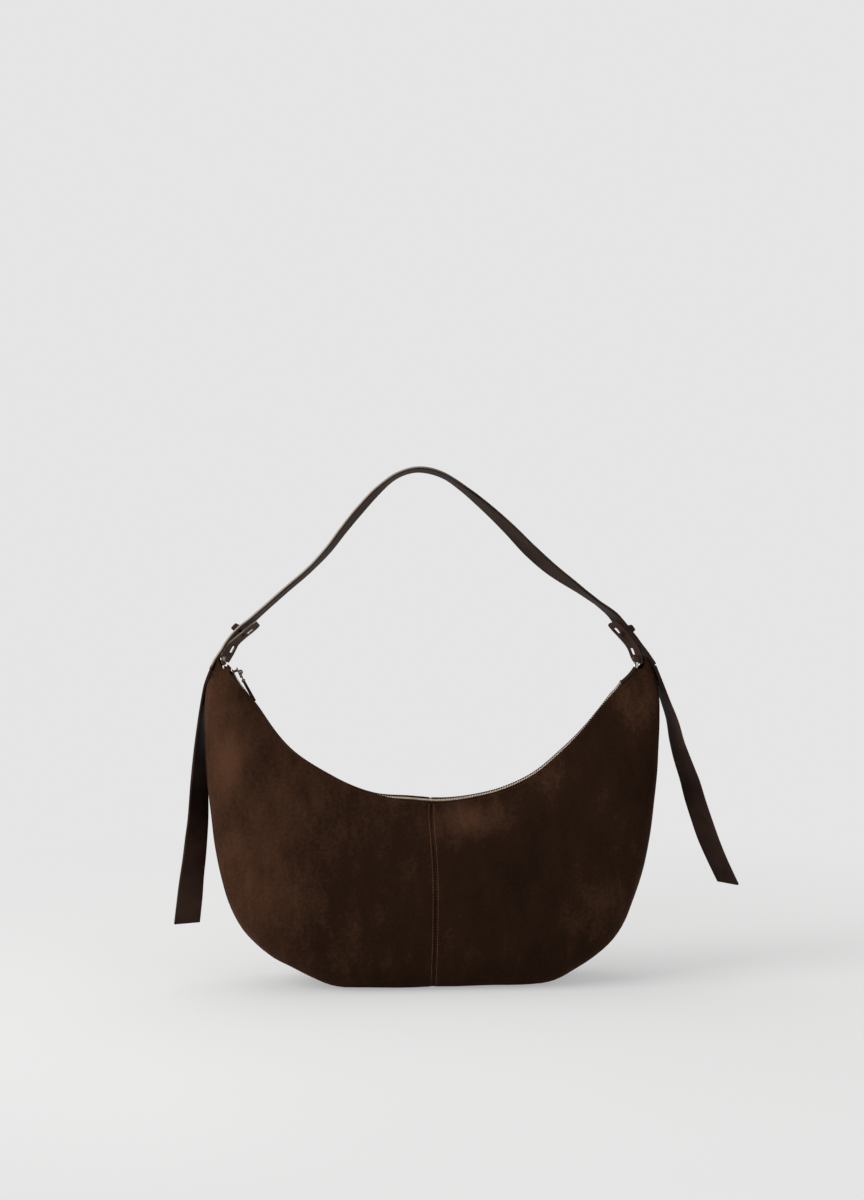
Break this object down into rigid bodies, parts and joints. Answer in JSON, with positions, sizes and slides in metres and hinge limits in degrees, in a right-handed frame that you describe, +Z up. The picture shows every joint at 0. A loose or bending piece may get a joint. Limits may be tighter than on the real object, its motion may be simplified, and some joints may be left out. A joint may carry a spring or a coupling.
{
  "type": "shoulder bag",
  "caption": "Suede crescent shoulder bag: panels with a centre seam, a zipped curved mouth that opens, ring-mounted slotted tabs, toggles and a strap with hanging tails.",
  "frame": {"origin": "middle of the flat foot of the gusset, on the surface that the bag stands on", "axes": "+X along the bag towards its right tip as seen from the front, -Y out of the front panel, +Z up"},
  "size_m": [0.5312, 0.0952, 0.4831],
  "materials": {
    "suede": "napped, very matt",
    "lining": "plain cloth",
    "zip_tape": "woven",
    "zip_metal": "dull, darkened",
    "strap_leather": "matt",
    "ring_metal": "polished",
    "toggle": "satin"
  },
  "bodies": {
    "bag": {"front_panel_left": "suede", "front_panel_right": "suede", "back_panel_left": "suede", "back_panel_right": "suede", "gusset": "suede", "front_lining": "lining", "back_lining": "lining", "inner_pocket": "lining", "zip_end_left": "suede", "zip_end_right": "suede", "tip_loop_left": "strap_leather", "tip_loop_right": "strap_leather"},
    "front_lip": {"front_mouth_band": "suede", "zip_tape_front": "zip_tape", "zip_teeth_front": "zip_metal"},
    "back_lip": {"back_mouth_band": "suede", "zip_tape_back": "zip_tape", "zip_teeth_back": "zip_metal"},
    "slider": {"zip_slider": "zip_metal"},
    "puller": {"zip_puller": "zip_metal", "pull_leather": "strap_leather"},
    "strap": {"strap_arch": "strap_leather", "tab_left": "strap_leather", "tab_right": "strap_leather", "toggle_left": "toggle", "toggle_right": "toggle", "ring_left": "ring_metal", "ring_right": "ring_metal"},
    "tail_left": {"strap_tail_left": "strap_leather"},
    "tail_right": {"strap_tail_right": "strap_leather"}
  },
  "joints": [
    {"name": "zip_slide", "type": "hinge", "parent": "bag", "child": "slider", "pos_m": [0, 0, 0.37], "axis": [0, -1, 0], "range_deg": [0, 126.8], "deforming": ["zip_teeth_front", "zip_teeth_back"]},
    {"name": "pull_flip", "type": "hinge", "parent": "slider", "child": "puller", "pos_m": [-0.17638, 0, 0.29505], "axis": [0, -1, 0], "range_deg": [0, 100]},
    {"name": "front_open", "type": "hinge", "parent": "bag", "child": "front_lip", "pos_m": [0, -0.0085, 0.30009], "axis": [-1, 0, 0], "range_deg": [0, 18]},
    {"name": "back_open", "type": "hinge", "parent": "bag", "child": "back_lip", "pos_m": [0, 0.0085, 0.30009], "axis": [1, 0, 0], "range_deg": [0, 18]},
    {"name": "strap_swing", "type": "hinge", "parent": "bag", "child": "strap", "pos_m": [0, 0, 0.2988], "axis": [1, 0, 0], "range_deg": [-60, 60], "deforming": ["strap_tail_left", "strap_tail_right"]},
    {"name": "left_tail_hang", "type": "hinge", "parent": "strap", "child": "tail_left", "pos_m": [-0.20347, 0, 0.2988], "axis": [1, 0, 0], "range_deg": [-60.5, 60.5]},
    {"name": "right_tail_hang", "type": "hinge", "parent": "strap", "child": "tail_right", "pos_m": [0.20769, 0, 0.2988], "axis": [1, 0, 0], "range_deg": [-60.5, 60.5]}
  ],
  "couplings": [
    {"joint": "front_open", "follows": "zip_slide", "ratio": 0.1419},
    {"joint": "back_open", "follows": "zip_slide", "ratio": 0.1419},
    {"joint": "left_tail_hang", "follows": "strap_swing", "ratio": -1},
    {"joint": "right_tail_hang", "follows": "strap_swing", "ratio": -1}
  ]
}
